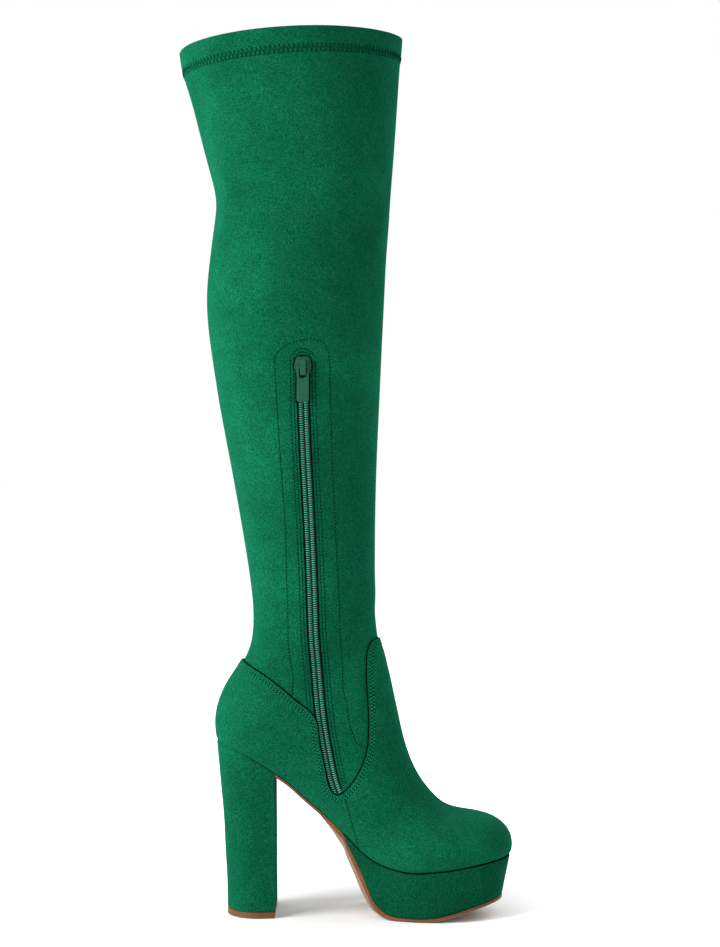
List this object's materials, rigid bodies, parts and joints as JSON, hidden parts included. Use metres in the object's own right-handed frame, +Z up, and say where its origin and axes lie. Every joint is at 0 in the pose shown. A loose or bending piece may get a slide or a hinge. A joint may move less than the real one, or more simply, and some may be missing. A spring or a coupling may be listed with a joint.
{
  "type": "thigh high boot",
  "caption": "Left thigh high boot in green suede with a covered platform, a tall block heel and an inside zip.",
  "frame": {"origin": "middle of the heel's bottom face, on the floor", "axes": "+X towards the toe, -Y towards the inner (medial) side with the zip, +Z up along the shaft"},
  "size_m": [0.2485, 0.133, 0.6541],
  "materials": {
    "green_suede": "brushed suede nap",
    "insole_lining": "soft lining",
    "tan_sole": "matt tan",
    "zip_tape_green": "woven tape",
    "zip_coil_green": "moulded coil",
    "zip_green_paint": "satin paint"
  },
  "bodies": {
    "boot": {"upper": "green_suede", "shaft": "green_suede", "insole": "insole_lining", "platform": "green_suede", "outsole": "tan_sole", "heel": "green_suede", "heel_top_piece": "tan_sole", "zip_tape": "zip_tape_green", "zip_coil": "zip_coil_green", "zip_slider": "zip_green_paint"},
    "pull_tab": {"zip_pull_tab": "zip_green_paint"}
  },
  "joints": [
    {"name": "pull_tab_hinge", "type": "hinge", "parent": "boot", "child": "pull_tab", "pos_m": [0.03903, -0.05516, 0.40509], "axis": [-1, 0, 0], "range_deg": [0, 150]}
  ]
}
